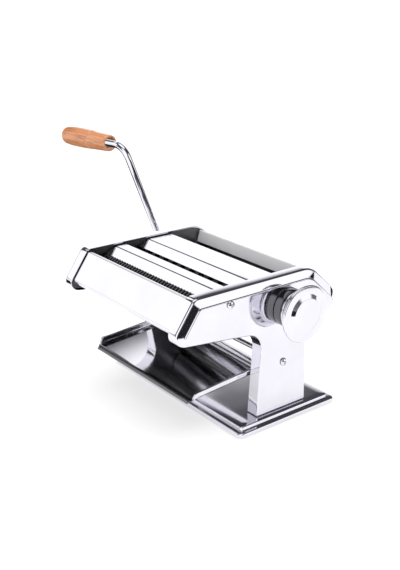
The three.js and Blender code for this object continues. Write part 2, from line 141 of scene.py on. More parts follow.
SCREW_HOLE = 2.2
SOCKET_HOLE = 7.8
SHAFT_HOLE = 5.3
RECESS_LONG = 1.9
RECESS_WIDE = 0.42

CRANK_RADIUS = 3.3
CRANK_IN = -84.2
CRANK_BEND = Vector((-97, *DRIVE_AXIS))
CRANK_TOP = Vector((-112, -3.3, 213.3))
LOWER_BEND = 9
UPPER_BEND = 15
PIN_LENGTH = 98
ARM = (CRANK_TOP - CRANK_BEND).normalized()
GRIP_AXIS = Vector((-1, 0, -0.05)).normalized()
GRIP_START = 23.5
GRIP_LENGTH = 86.5

BASE_LOW, BASE_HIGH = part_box("base_plate")
ORIGIN = Vector((
    (BASE_LOW[0] + BASE_HIGH[0]) / 2,
    (BASE_LOW[1] + BASE_HIGH[1]) / 2 - MM * (BASE_FRONT + BASE_REAR) / 2,
    0,
))


def row(point):
    return Vector(point) * MM + ORIGIN


def linked(name, data):
    """A new object in the scene."""
    obj = bpy.data.objects.new(name, data)
    bpy.context.scene.collection.objects.link(obj)
    return obj


def as_mesh(name, bm):
    """A mesh from the bmesh, which is freed."""
    mesh = bpy.data.meshes.new(name)
    bm.to_mesh(mesh)
    bm.free()
    return mesh


# Materials ----------------------------------------------------------------------------------------


class Shader:
    """A Principled material and the nodes that drive it, in object coordinates."""

    def __init__(self, name, color, roughness, metallic=0.0):
        self.material = bpy.data.materials.new(name)
        self.material.use_nodes = True
        self.tree = self.material.node_tree
        self.bsdf = self.tree.nodes["Principled BSDF"]
        self.bsdf.inputs["Base Color"].default_value = (*color, 1)
        self.bsdf.inputs["Roughness"].default_value = roughness
        self.bsdf.inputs["Metallic"].default_value = metallic
        self.coordinates = self.add("ShaderNodeTexCoord").outputs["Object"]

    def add(self, kind, **settings):
        node = self.tree.nodes.new(kind)
        for key, value in settings.items():
            setattr(node, key, value)
        return node

    def link(self, output, target):
        self.tree.links.new(output, target)

    def stretched(self, scale):
        mapping = self.add("ShaderNodeMapping")
        mapping.inputs["Scale"].default_value = scale
        self.link(self.coordinates, mapping.inputs["Vector"])
        return mapping.outputs["Vector"]

    def noise(self, scale, detail=4.0, stretch=(1, 1, 1)):
        node = self.add("ShaderNodeTexNoise")
        node.inputs["Scale"].default_value = scale
        node.inputs["Detail"].default_value = detail
        self.link(self.stretched(stretch), node.inputs["Vector"])
        return node.outputs["Fac"]

    def span(self, value, low, high, start=0.3, end=0.7):
        node = self.add("ShaderNodeMapRange")
        node.inputs["From Min"].default_value = start
        node.inputs["From Max"].default_value = end
        node.inputs["To Min"].default_value = low
        node.inputs["To Max"].default_value = high
        self.link(value, node.inputs["Value"])
        return node.outputs["Result"]

    def ramp(self, value, stops):
        node = self.add("ShaderNodeValToRGB")
        elements = node.color_ramp.elements
        while len(elements) < len(stops):
            elements.new(0.5)
        for element, (position, color) in zip(elements, stops):
            element.position = position
            element.color = (*color, 1)
        self.link(value, node.inputs["Fac"])
        return node.outputs["Color"]

    def bump(self, height, strength, distance):
        node = self.add("ShaderNodeBump")
        node.inputs["Strength"].default_value = strength
        node.inputs["Distance"].default_value = distance
        self.link(height, node.inputs["Height"])
        self.link(node.outputs["Normal"], self.bsdf.inputs["Normal"])


def metal(name, color, roughness, spread, grain=(1, 1, 1), grain_scale=900, metallic=1.0):
    """Metal with faint handling marks: patches of haze, and fine polishing lines along the grain."""
    shader = Shader(name, color, roughness, metallic)
    haze = shader.noise(28, 5)
    marks = shader.ramp(haze, [(0.3, tuple(0.93 * c for c in color)), (0.7, color)])
    shader.link(marks, shader.bsdf.inputs["Base Color"])
    shader.link(shader.span(haze, roughness, roughness + spread), shader.bsdf.inputs["Roughness"])
    shader.bump(shader.noise(grain_scale, 2, grain), 0.25, 0.00001)
    return shader.material


def wood():
    shader = Shader("grip_wood", (0.62, 0.27, 0.08), 0.38)
    rings = shader.noise(60, 6, (0.12, 1, 1))
    pores = shader.noise(900, 3, (0.04, 1, 1))
    stops = [(0.28, (0.42, 0.15, 0.055)), (0.48, (0.55, 0.22, 0.09)), (0.75, (0.66, 0.3, 0.14))]
    tone = shader.ramp(rings, stops)
    flecks = shader.ramp(pores, [(0.36, (0.62, 0.56, 0.5)), (0.5, (1, 1, 1))])
    mix = shader.add("ShaderNodeMix", data_type="RGBA", blend_type="MULTIPLY")
    mix.inputs["Factor"].default_value = 1
    shader.link(tone, mix.inputs["A"])
    shader.link(flecks, mix.inputs["B"])
    shader.link(mix.outputs["Result"], shader.bsdf.inputs["Base Color"])
    shader.link(shader.span(rings, 0.3, 0.45), shader.bsdf.inputs["Roughness"])
    shader.bsdf.inputs["Coat Weight"].default_value = 0.35
    shader.bsdf.inputs["Coat Roughness"].default_value = 0.15
    shader.bump(pores, 0.25, 0.00008)
    return shader.material


def dull(name, color, roughness, depth):
    shader = Shader(name, color, roughness)
    patches = shader.noise(90, 5)
    tone = shader.ramp(patches, [(0.35, tuple(0.88 * c for c in color)), (0.65, color)])
    shader.link(tone, shader.bsdf.inputs["Base Color"])
    shader.link(shader.span(patches, roughness - 0.07, roughness + 0.07), shader.bsdf.inputs["Roughness"])
    shader.bump(shader.noise(1400, 3), 0.4, depth)
    return shader.material


MATERIALS = {
    "chrome_sheet": metal("chrome_sheet", (0.8, 0.79, 0.845), 0.045, 0.045),
    # Chrome darkened to near-black: painted shade, a dark copy of the chrome for shaded chrome surfaces
    "shade_painted_chrome": metal("shade_painted_chrome", (0.15, 0.15, 0.16), 0.1, 0.05),
    "satin_sheet": metal("satin_sheet", (0.6, 0.6, 0.615), 0.5, 0.1, (1, 40, 40), 60, 0.12),
    "wall_steel": metal("wall_steel", (0.2, 0.2, 0.21), 0.32, 0.1, (1, 1, 30), 60),
    "roller_steel": metal("roller_steel", (0.6, 0.6, 0.62), 0.2, 0.1, (40, 1, 1), 120),
    "cutter_steel": metal("cutter_steel", (0.16, 0.16, 0.165), 0.3, 0.1, (40, 1, 1), 120),
    # Near-black steel: painted shade, a dark copy of the steel for parts that sit in deep shadow
    "shade_painted_steel": metal("shade_painted_steel", (0.05, 0.05, 0.055), 0.3, 0.1, (40, 1, 1), 120),
    "polished_roller": metal("polished_roller", (0.6, 0.6, 0.62), 0.12, 0.08, (40, 1, 1), 120),
    "gear_steel": metal("gear_steel", (0.4, 0.4, 0.42), 0.32, 0.12, (1, 1, 30), 60),
    "bush_brass": metal("bush_brass", (0.78, 0.58, 0.28), 0.25, 0.12),
    "grip_wood": wood(),
    "foot_rubber": dull("foot_rubber", (0.022, 0.022, 0.024), 0.72, 0.0001),
    "scraper_plastic": dull("scraper_plastic", (0.03, 0.03, 0.032), 0.42, 0.00004),
}

# Shapes -------------------------------------------------------------------------------------------


def rounded(corners, closed, steps=8):
    """Points [a, b] along a path whose corners (a, b, radius) are arcs."""
    points = []
    last = len(corners) - 1
    for i, (a, b, radius) in enumerate(corners):
        corner = Vector((a, b))
        if not radius or (not closed and i in (0, last)):
            points.append(corner)
            continue
        before = (Vector(corners[i - 1][:2]) - corner).normalized()
        after = (Vector(corners[(i + 1) % len(corners)][:2]) - corner).normalized()
        half = before.angle(after) / 2
        centre = corner + (before + after).normalized() * (radius / math.sin(half))
        start = corner + before * (radius / math.tan(half)) - centre
        end = corner + after * (radius / math.tan(half)) - centre
        sweep = math.atan2(start.x * end.y - start.y * end.x, start.dot(end))
        for k in range(steps + 1):
            angle = sweep * k / steps
            cos, sin = math.cos(angle), math.sin(angle)
            points.append(centre + Vector((start.x * cos - start.y * sin, start.x * sin + start.y * cos)))
    return points


def eased(points, reach):
    """An open path whose corners are arcs that start reach mm away, or less on a short side."""
    points = [Vector(p) for p in points]
    corners = [(*points[0], 0)]
    for before, corner, after, most in zip(points, points[1:], points[2:], reach):
        arm = min(most, (corner - before).length * 0.45, (after - corner).length * 0.45)
        half = (before - corner).angle(after - corner) / 2
        corners.append((*corner, arm * math.tan(half)))
    return rounded([*corners, (*points[-1], 0)], False, 4)


def loft(bm, rings, wrap=False, closed=True):
    """Skins rings of points. wrap joins the last ring to the first; closed joins each ring's ends."""
    verts = [[bm.verts.new(point) for point in ring] for ring in rings]
    pairs = list(zip(verts, verts[1:]))
    if wrap:
        pairs.append((verts[-1], verts[0]))
    count = len(rings[0])
    for one, two in pairs:
        for i in range(count if closed else count - 1):
            j = (i + 1) % count
            bm.faces.new((one[i], one[j], two[j], two[i]))
    return verts


def turned(profile, segments=64, wrap=False):
    """A mesh turned about the X axis from a profile of (x, radius)."""
    bm = bmesh.new()
    rings = []
    for x, radius in profile:
        angles = [2 * math.pi * k / segments for k in range(segments)]
        rings.append([(x, radius * math.cos(a), radius * math.sin(a)) for a in angles])
    loft(bm, rings, wrap)
    return cleaned(bm)


def cleaned(bm):
    bmesh.ops.remove_doubles(bm, verts=bm.verts, dist=1e-4)
    bmesh.ops.dissolve_degenerate(bm, edges=bm.edges, dist=1e-5)
    bmesh.ops.recalc_face_normals(bm, faces=bm.faces)
    return bm


def profile(corners, closed=False, steps=5):
    return [tuple(point) for point in rounded(corners, closed, steps)]


def offset(points, distance):
    """An open path moved sideways to its left."""
    moved = []
    for i, point in enumerate(points):
        into = (point - points[i - 1]).normalized() if i else None
        out = (points[i + 1] - point).normalized() if i + 1 < len(points) else None
        into, out = into or out, out or into
        normal = Vector((-into.y - out.y, into.x + out.x))
        moved.append(point + normal * (distance / (1 + into.dot(out))))
    return moved


def strip(path, thickness, half_width):
    """A sheet that follows the path (y, z) across the machine, with rounded cut edges."""
    sign = 1 if thickness > 0 else -1
    edge = min(0.3, abs(thickness) * 0.35)
    right = [(0, half_width - edge), (edge, half_width)]
    outline = []
    for shrink, x in [(edge, -half_width), (0, -half_width + edge), *right]:
        outer = offset(path, sign * shrink)
        inner = offset(path, thickness - sign * shrink)
        outline.append([(x, p.x, p.y) for p in outer + inner[::-1]])
    bm = bmesh.new()
    rings = loft(bm, outline)
    for ring in (rings[0], rings[-1]):
        half = len(ring) // 2
        for i in range(half - 1):
            bm.faces.new((ring[i], ring[i + 1], ring[-2 - i], ring[-1 - i]))
    return cleaned(bm)


def piece(name, bm, body, finish, nodes, place=Matrix(), sharp=32):
    """Adds the mesh, drawn in millimetres at place, as a visible piece that stands for CAD nodes."""
    for vert in bm.verts:
        vert.co *= MM
    mesh = as_mesh(name, bm)
    mesh.polygons.foreach_set("use_smooth", [True] * len(mesh.polygons))
    mesh.set_sharp_from_angle(angle=math.radians(sharp))
    mesh.materials.append(MATERIALS[finish])
    obj = linked(name, mesh)
    scaled = place.copy()
    scaled.translation = row(place.translation)
    obj.matrix_world = scaled
    bpy.context.view_layer.update()
    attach(obj, body)
    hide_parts(*nodes)
    return obj


def modified(bm, *steps):
    """The mesh with modifiers (type, settings) applied."""
    mesh = as_mesh("working", bm)
    obj = linked("working", mesh)
    for kind, settings in steps:
        modifier = obj.modifiers.new(kind, kind)
        for key, value in settings.items():
            setattr(modifier, key, value)
    bpy.context.view_layer.update()
    result = bmesh.new()
    evaluated = obj.evaluated_get(bpy.context.evaluated_depsgraph_get())
    result.from_mesh(evaluated.data)
    bpy.data.objects.remove(obj)
    bpy.data.meshes.remove(mesh)
    return result


def cut_away(bm, cutter, **settings):
    """The mesh, less the cutter's shape."""
    mesh = as_mesh("cutter", cutter)
    tool = linked("cutter", mesh)
    settings |= {"operation": "DIFFERENCE", "object": tool, "solver": "EXACT"}
    result = modified(bm, ("BOOLEAN", settings))
    bpy.data.objects.remove(tool)
    bpy.data.meshes.remove(mesh)
    return result


def drilled(bm, holes):
    """The mesh, less round holes (x0, x1, radius, (y, z)) along X."""
    cutter = bmesh.new()
    for x0, x1, radius, (y, z) in holes:
        caps = []
        for x in (x0, x1):
            angles = [2 * math.pi * k / 40 for k in range(40)]
            caps.append([(x, y + radius * math.cos(a), z + radius * math.sin(a)) for a in angles])
        one, two = loft(cutter, caps)
        cutter.faces.new(one)
        cutter.faces.new(two)
    bmesh.ops.recalc_face_normals(cutter, faces=cutter.faces)
    return cut_away(bm, cutter)


def at(y, z, x=0):
    return Matrix.Translation((x, y, z))


# Side plates: a flange, a rim, and a chamfer that runs into the raised face -----------------------


def inner_corners():
    """The corners of the face, each edge moved in by its own chamfer width."""
    corners = []
    for i, (y, z, _, radius, width) in enumerate(PLATE_CORNERS):
        here = Vector((y, z))
        before = (here - Vector(PLATE_CORNERS[i - 1][:2])).normalized()
        after = (Vector(PLATE_CORNERS[(i + 1) % len(PLATE_CORNERS)][:2]) - here).normalized()
        width_before = PLATE_CORNERS[i - 1][4]
        cross = before.x * after.y - before.y * after.x
        point = here + (before * width - after * width_before) * (-1 / cross)
        corners.append((point.x, point.y, radius))
    return corners


def plate_sections(steps=10):
    """For each point of the outline: the point, its face point, and the height of its rim."""
    outer = rounded([c[:3] for c in PLATE_CORNERS], True, steps)
    inner = rounded(inner_corners(), True, steps)
    sections = []
    for i in range(len(PLATE_CORNERS)):
        rims = [FACE_X - (FACE_X - RIM_X) * PLATE_CORNERS[j][4] / CHAMFER for j in (i - 1, i)]
        rims = [min(rim, FACE_X - 0.9) for rim in rims]
        for k in range(steps + 1):
            blend = k / steps
            blend = blend * blend * (3 - 2 * blend)
            j = i * (steps + 1) + k
            sections.append((outer[j], inner[j], rims[0] * (1 - blend) + rims[1] * blend))
    return sections


def side_plate(side, holes):
    """One closed pressing: the outer skin of each column, then the inner skin back to the flange."""
    columns = []
    turn = 0
    for outer, inner, rim in plate_sections():
        inward = inner - outer
        width = inward.length
        ease = min(max((width - EDGE) / (CHAMFER - EDGE), 0), 1)
        crease = (width - 0.22 - 0.5 * ease, FACE_X - 0.18 - 0.6 * ease)
        skin = [(0, FLANGE_X + 0.3), (0, rim), crease, (width, FACE_X), (width + 0.5 + ease, FACE_X)]
        path = eased(skin, (1.7, 0.45, 0.45))
        turn = len(path)
        path += [Vector(p) for p in ((width + 2, FACE_X - SHEET), (width + 0.6, FACE_X - SHEET))]
        path += [Vector(p) for p in ((SHEET, rim - 0.7), (SHEET, FLANGE_X + 0.3), (SHEET - 0.3, FLANGE_X))]
        path += [Vector((0.3, FLANGE_X))]
        columns.append([(side * p.y, *(outer + inward * (p.x / width))) for p in path])
    bm = bmesh.new()
    rings = [list(ring) for ring in zip(*columns)]
    outside = loft(bm, rings[turn:] + rings[:turn])
    bm.faces.new(outside[0])
    bm.faces.new(outside[-1])
    bmesh.ops.recalc_face_normals(bm, faces=bm.faces)
    return drilled(bm, [(side * (FACE_X - 4), side * (FACE_X + 4), radius, axis) for axis, radius in holes])


screw_holes = [(axis, SCREW_HOLE) for axis in TIE_RODS.values()]
socket_holes = [(axis, SOCKET_HOLE) for _, axis in SOCKETS.values()]
piece("side_plate_right_pressing", side_plate(1, [*screw_holes, (KNOB_AXIS, SHAFT_HOLE)]), "frame",
      "chrome_sheet", ["side_plate_right"])
piece("side_plate_left_pressing", side_plate(-1, [*screw_holes, *socket_holes]), "frame",
      "chrome_sheet", ["side_plate_left"])

# Base ---------------------------------------------------------------------------------------------


def base_ring(inset, z):
    """The outline of the base at a height, moved in by the inset."""
    x, front, rear = BASE_HALF_X - inset, BASE_FRONT + inset, BASE_REAR - inset
    radius = max(5 - 0.45 * inset, 2.2)
    corners = [(-x, front, radius), (x, front, radius), (x, rear, radius), (-x, rear, radius)]
    return [(p.x, p.y, z) for p in rounded(corners, True, 8)]


def base():
    steps = [(0, 1, 0), (0, 5, 1.3), (5, 5, 0.9), (5.3, 8, 1.2), (12, 8, 0)]
    bm = bmesh.new()
    rings = loft(bm, [base_ring(p.x, p.y) for p in rounded(steps, False, 5)])
    bm.faces.new(rings[-1])
    bmesh.ops.recalc_face_normals(bm, faces=bm.faces)
    top = max(bm.faces, key=lambda f: f.calc_area())
    if top.normal.z < 0:
        bmesh.ops.reverse_faces(bm, faces=bm.faces)
    return modified(
        bm,
        ("SOLIDIFY", {"thickness": SHEET, "offset": -1, "use_even_offset": True}),
        ("BEVEL", {"width": 0.3, "segments": 2, "limit_method": "ANGLE", "angle_limit": math.radians(50)}),
    )


piece("base_pressing", base(), "frame", "chrome_sheet", ["base_plate"])

STAND = Matrix.Rotation(-math.pi / 2, 4, "Y")
for side, x in (("left", -FOOT_X), ("right", FOOT_X)):
    for end, y in FOOT_Y.items():
        path = [(0, 0, 0), (0, 8.9, 0.8), (2.2, 8.9, 0.3), (2.6, 8.3, 0.3), (6.4, 8.3, 0.6), (6.4, 0, 0)]
        foot = turned(profile(path), 40)
        piece(f"foot_{end}_{side}", foot, "frame", "foot_rubber", [f"rubber_foot_{end}_{side}"],
              Matrix.Translation((x, y, 0)) @ STAND)

# Covers -------------------------------------------------------------------------------------------

for name, (corners, side) in COVERS.items():
    sheet = strip(rounded(corners, False, 8), side * COVER_SHEET, COVER_HALF)
    cover = piece(f"{name}_sheet", sheet, "frame", "chrome_sheet", [name])
    if name == "rear_cover":
        # The chute is unpolished inside: satin where dough is laid, and painted near-black below, as
        # painted shade where it drops into the dark slot to the rollers
        cover.data.materials.append(MATERIALS["satin_sheet"])
        cover.data.materials.append(MATERIALS["shade_painted_steel"])
        for polygon in cover.data.polygons:
            _, y, z = polygon.center / MM
            if y < CHUTE_REAR:
                polygon.material_index = 1 if z > CHUTE_SATIN_Z else 2

# Noodle slide -------------------------------------------------------------------------------------


def slide_floor(y):
    """The height of the slide's floor, which falls towards the front."""
    return 42.2 + 0.076 * y


def slide_section(y, height, half, floor):
    """Across the slide: rim, wall, floor, wall, rim."""
    height = max(height, 0.05)
    bend = min(1.6, height * 0.4)
    rim = min(2.4, height * 0.4)
    right = [(0, 0, 0), (half, 0, bend), (half, height, bend * 0.5), (half + rim, height, 0)]
    points = rounded(right, False, 6)
    across = [(-p.x, p.y) for p in points[:0:-1]] + [(p.x, p.y) for p in points]
    return [(x, y, floor + h) for x, h in across]


def noodle_slide():
    """The tray: even walls, walls that round down to the front, then a lip that turns down."""
    rings = []
    wall_front = SLIDE_FRONT + SLIDE_WALL_END
    for k in range(13):
        y = SLIDE_REAR + (wall_front - SLIDE_REAR) * k / 12
        rings.append(slide_section(y, SLIDE_WALL, SLIDE_HALF, slide_floor(y)))
    for k in range(1, 9):
        angle = math.pi / 2 * k / 8
        y = wall_front - SLIDE_WALL_END * math.sin(angle)
        rings.append(slide_section(y, SLIDE_WALL * math.cos(angle), SLIDE_HALF, slide_floor(y)))
    lip = rounded(SLIDE_LIP, False, 5)
    for k, p in enumerate(lip[1:]):
        narrowing = 2.5 * (k / (len(lip) - 2)) ** 2
        rings.append(slide_section(p.x, 0, SLIDE_HALF - narrowing, slide_floor(SLIDE_FRONT) + p.y))
    bm = bmesh.new()
    loft(bm, rings, closed=False)
    bmesh.ops.recalc_face_normals(bm, faces=bm.faces)
    floor = max(bm.faces, key=lambda f: f.calc_area())
    if floor.normal.z < 0:
        bmesh.ops.reverse_faces(bm, faces=bm.faces)
    sheet = modified(
        bm,
        ("SOLIDIFY", {"thickness": SLIDE_SHEET, "offset": -1, "use_even_offset": False}),
        ("BEVEL", {"width": 0.22, "segments": 2, "limit_method": "ANGLE", "angle_limit": math.radians(55)}),
    )
    y, z = TIE_RODS["leg"]
    ear = [(20, 46.5, 0), (30, 46.5, 0), (30, z + 5, 4), (20, z + 5, 4)]
    for side in (-1, 1):
        outline = rounded(ear, True, 6)
        tab = bmesh.new()
        faces = [side * SLIDE_HALF, side * (SLIDE_HALF + SLIDE_SHEET)]
        caps = loft(tab, [[(x, *p) for p in outline] for x in faces])
        tab.faces.new(caps[0])
        tab.faces.new(caps[1])
        bmesh.ops.recalc_face_normals(tab, faces=tab.faces)
        tab = drilled(tab, [(side * (SLIDE_HALF - 3), side * (SLIDE_HALF + 4), 2.9, (y, z))])
        mesh = as_mesh("tab", tab)
        sheet.from_mesh(mesh)
        bpy.data.meshes.remove(mesh)
    return sheet


tray = piece("slide_tray", noodle_slide(), "frame", "chrome_sheet", ["noodle_slide"])
tray.data.materials.append(MATERIALS["shade_painted_chrome"])
# The lip of the same chrome pressing gets the darkened chrome: painted shade along the turned-down front
# edge
for polygon in tray.data.polygons:
    if polygon.center.y / MM < SLIDE_FRONT - 0.4:
        polygon.material_index = 1

# Tie rods and screws ------------------------------------------------------------------------------

for place, (y, z) in TIE_RODS.items():
    right = [(70.8, 2.35, 0.2), (71, 2.6, 0.2), (75, 2.6, 0.4), (75, 0, 0)]
    path = [(-x, radius, bend) for x, radius, bend in right[::-1]] + right
    piece(f"tie_rod_{place}_turned", turned(profile(path), 32), "frame", "roller_steel",
          [f"tie_rod_{place}"], at(y, z))


def screw():
    """A pan-head screw with a cross recess, pointing along -X from a head at x = 0."""
    shank = [(-11.4, 0, 0), (-11.4, 1.9, 0.3), (0, 1.9, 0)]
    path = [*shank, (0, 3.55, 0.25), (1.1, 3.4, 1.2), (2.05, 1.4, 2), (2.1, 0, 0)]
    bm = turned(profile(path), 40)
    cutter = bmesh.new()
    for upright in (True, False):
        for vert in bmesh.ops.create_cube(cutter, size=1)["verts"]:
            deep = vert.co.x < 0
            length = RECESS_LONG * (0.45 if deep else 1)
            half_y, half_z = (RECESS_WIDE, length) if upright else (length, RECESS_WIDE)
            vert.co = (0.7 if deep else 3, vert.co.y * 2 * half_y, vert.co.z * 2 * half_z)
    return cut_away(bm, cutter, use_self=True)


for place, (y, z) in TIE_RODS.items():
    for side, sign in (("right", 1), ("left", -1)):
        facing = Matrix.Rotation(0 if sign > 0 else math.pi, 4, "Z")
        spin = Matrix.Rotation(0.5 + y * 0.07, 4, "X")
        piece(f"screw_{place}_{side}_head", screw(), "frame", "chrome_sheet", [f"screw_{place}_{side}"],
              at(y, z, sign * (FACE_X + 0.3)) @ facing @ spin)

# Rollers and cutters ------------------------------------------------------------------------------


def axle_ends(axle, middle):
    left = [(AXLE_LEFT, 0, 0), (AXLE_LEFT, axle, 0.5), (-ROLLER_HALF, axle, 0.2)]
    right = [(ROLLER_HALF, axle, 0.2), (AXLE_RIGHT, axle, 0.5), (AXLE_RIGHT, 0, 0)]
    return left + middle + right


smooth = [(-ROLLER_HALF, ROLLER_RADIUS, 0.6), (ROLLER_HALF, ROLLER_RADIUS, 0.6)]
for name, axis in (("drive_roller", DRIVE_AXIS), ("adjustable_roller", KNOB_AXIS)):
    piece(f"{name}_ground", turned(profile(axle_ends(ROLLER_AXLE, smooth)), 96), name, "polished_roller",
          [name], at(*axis))


def discs(first, pitch, land, root):
    """Cutting discs along a roller: slightly chamfered lands with square grooves between them."""
    radius = CUTTER_RADIUS
    path = [(-ROLLER_HALF, root, 0)]
    x = first
    while x + land < ROLLER_HALF:
        path += [(x, root, 0), (x, radius - 0.15, 0), (x + 0.15, radius, 0)]
        path += [(x + land - 0.15, radius, 0), (x + land, radius - 0.15, 0), (x + land, root, 0)]
        x += pitch
    return path + [(ROLLER_HALF, root, 0)]


NARROW_DISCS = {"pitch": 4, "land": 1.85, "root": 6.45}
WIDE_DISCS = {"pitch": 13, "land": 5.9, "root": 6.2}
HALF_CENTRES = CUTTER_CENTRES / 2
CUTTERS = {
    "narrow_cutter_front": ("narrow_front", NARROW_NIP_Y - HALF_CENTRES, discs(-73.6, **NARROW_DISCS)),
    "narrow_cutter_rear": ("narrow_rear", NARROW_NIP_Y + HALF_CENTRES, discs(-71.6, **NARROW_DISCS)),
    "wide_cutter_front": ("wide_front", WIDE_NIP_Y - HALF_CENTRES, discs(-72.7, **WIDE_DISCS)),
    "wide_cutter_rear": ("wide_rear", WIDE_NIP_Y + HALF_CENTRES, discs(-66.2, **WIDE_DISCS)),
}
for name, (body, y, cut) in CUTTERS.items():
    # The wide cutters get a near-black copy of the cutter steel: painted shade, as the narrow and wide
    # cutters are the same steel
    finish = "cutter_steel" if name.startswith("narrow") else "shade_painted_steel"
    piece(f"{name}_discs", turned(profile(axle_ends(CUTTER_AXLE, cut)), 56), body, finish, [name],
          at(y, CUTTER_Z))

for name, (body, (y, z)) in SOCKETS.items():
    path = [(-90, 3.65, 0.5), (-90, 7.5, 0.7), (-83.8, 7.5, 0.4), (-83.8, 3.65, 0.3)]
    ring = turned(profile(path, True, 4), 48, wrap=True)
    piece(f"{name}_ring", ring, body, "roller_steel", [name], at(y, z))

# Gap knob -----------------------------------------------------------------------------------------

collar = [
    (86.9, 5.4, 0.3),
    (86.9, 16.9, 0.6),
    (94.3, 16.9, 0.4),
    (94.6, 15.9, 0.25),
    (95.2, 15.9, 0.25),
    (95.5, 16.7, 0.35),
    (96.5, 16.5, 0.35),
    (96.5, 5.4, 0.3),
]
# The collar gets the darkened chrome: painted shade under the knob's overhang
piece("knob_collar_turned", turned(profile(collar, True, 4), 96, wrap=True), "frame", "shade_painted_chrome",
      ["knob_collar"], at(*KNOB_AXIS))
knob = [
    (104, 0, 0),
    (104, 5.35, 0.3),
    (97, 5.35, 0.3),
    (97, 18, 0.4),
    (98.6, 18.3, 0.5),
    (99, 17.5, 0.3),
    (99.8, 17.5, 0.3),
    (100.3, 19.7, 0.6),
    (103, 22.2, 4),
    (105.6, 24.5, 1.2),
    (106.1, 23.9, 0.3),
    (106.7, 24, 0.3),
    (107.2, 25.1, 0.5),
    (108.7, 25.1, 1.1),
    (108.7, 17.7, 0.35),
    (110.5, 14.3, 1),
    (110.5, 0, 0),
]
piece("gap_knob_turned", turned(profile(knob, False, 7), 128), "knob", "chrome_sheet", ["gap_knob"],
      at(*KNOB_AXIS))

# Crank and grip -----------------------------------------------------------------------------------


def bezier(start, control, end, steps):
    for k in range(1, steps + 1):
        t = k / steps
        yield start * (1 - t) ** 2 + control * (2 * t * (1 - t)) + end * t**2


def crank_path():
    inward = Vector((1, 0, 0))
    bend_in = CRANK_BEND + inward * LOWER_BEND
    bend_out = CRANK_BEND + ARM * LOWER_BEND
    top_in = CRANK_TOP - ARM * UPPER_BEND
    top_out = CRANK_TOP + GRIP_AXIS * UPPER_BEND
    points = [Vector((CRANK_IN, *DRIVE_AXIS)), bend_in]
    points += bezier(bend_in, CRANK_BEND, bend_out, 14)
    points += [bend_out + (top_in - bend_out) * (k / 12) for k in range(1, 13)]
    points += bezier(top_in, CRANK_TOP, top_out, 16)
    points += [top_out + GRIP_AXIS * ((PIN_LENGTH - UPPER_BEND) * k / 4) for k in range(1, 5)]
    return points


def tube(points, radius, segments=28, edge=0.6):
    """A round rod along the points, with chamfered ends."""
    bm = bmesh.new()
    tangents = []
    for i in range(len(points)):
        ahead = points[min(i + 1, len(points) - 1)]
        behind = points[max(i - 1, 0)]
        tangents.append((ahead - behind).normalized())
    normal = tangents[0].orthogonal().normalized()
    stations = []
    for i, (point, tangent) in enumerate(zip(points, tangents)):
        if i:
            normal = tangents[i - 1].rotation_difference(tangent) @ normal
        stations.append((point, tangent, normal.copy(), radius))
    start, out, start_normal, _ = stations[0]
    end, onward, end_normal, _ = stations[-1]
    stations = [
        (start, out, start_normal, radius - edge),
        (start + out * edge, out, start_normal, radius),
        *stations[1:-1],
        (end - onward * edge, onward, end_normal, radius),
        (end, onward, end_normal, radius - edge),
    ]
    rings = []
    for point, tangent, normal, r in stations:
        side = tangent.cross(normal)
        angles = [2 * math.pi * k / segments for k in range(segments)]
        rings.append([point + normal * (r * math.cos(a)) + side * (r * math.sin(a)) for a in angles])
    ends = loft(bm, rings)
    bm.faces.new(ends[0])
    bm.faces.new(ends[-1])
    return cleaned(bm)


crank = piece("crank_bent_rod", tube(crank_path(), CRANK_RADIUS), "crank", "chrome_sheet", ["crank_rod"])

grip_end = GRIP_START + GRIP_LENGTH
grip = [
    (PIN_LENGTH + 1, 0, 0),
    (PIN_LENGTH + 1, 3.7, 0),
    (GRIP_START + 7, 3.7, 0.3),
    (GRIP_START + 7, 5.3, 0.6),
    (GRIP_START + 0.4, 5.7, 0.5),
    (GRIP_START, 7.2, 0.4),
    (GRIP_START + 1.6, 8, 1.6),
    (GRIP_START + 29.6, 8.9, 0.5),
    (GRIP_START + 31, 8.35, 0.5),
    (GRIP_START + 32.4, 9.25, 0.5),
    (GRIP_START + 50, 9.65, 60),
    (grip_end - 20, 9.65, 20),
    (grip_end - 7.5, 8.8, 8),
    (grip_end - 1.4, 5.4, 5),
    (grip_end, 0, 0),
]
grip_mesh = turned(profile(grip, False, 8), 72)
toward = Vector((1, 0, 0)).rotation_difference(GRIP_AXIS).to_matrix().to_4x4()
bmesh.ops.transform(grip_mesh, matrix=toward, verts=grip_mesh.verts)
wooden = piece("crank_grip_turned", grip_mesh, "grip", "grip_wood", ["crank_grip"],
               Matrix.Translation(CRANK_TOP))
# Polished metal doesn't show the crank and grip, so the covers stay evenly bright
for rod in (crank, wooden):
    rod.visible_glossy = False

# CAD pieces whose shape is right get rounded edges and a finish -----------------------------------

KEPT = {
    "wall_steel": ["bearing_wall_left", "bearing_wall_right"],
    "roller_steel": ["adjuster_shaft"],
    "bush_brass": [
        "drive_roller_bush_left",
        "drive_roller_bush_right",
        "roller_carrier_left",
        "roller_carrier_right",
    ],
    "gear_steel": [
        "drive_roller_gear",
        "adjustable_roller_gear",
        "narrow_cutter_gear_front",
        "narrow_cutter_gear_rear",
        "wide_cutter_gear_front",
        "wide_cutter_gear_rear",
    ],
    "scraper_plastic": [
        "drive_roller_scraper",
        "adjustable_roller_scraper",
        "narrow_stripper_front",
        "narrow_stripper_rear",
        "wide_stripper_front",
        "wide_stripper_rear",
    ],
}
for finish, names in KEPT.items():
    for name in names:
        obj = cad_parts[name]
        for material_slot in obj.material_slots:
            material_slot.material = MATERIALS[finish]
        bevel = obj.modifiers.new("rounded_edges", "BEVEL")
        bevel.width = 0.00018
        bevel.segments = 2
        bevel.limit_method = "ANGLE"
        bevel.angle_limit = math.radians(45)

# Studio -------------------------------------------------------------------------------------------

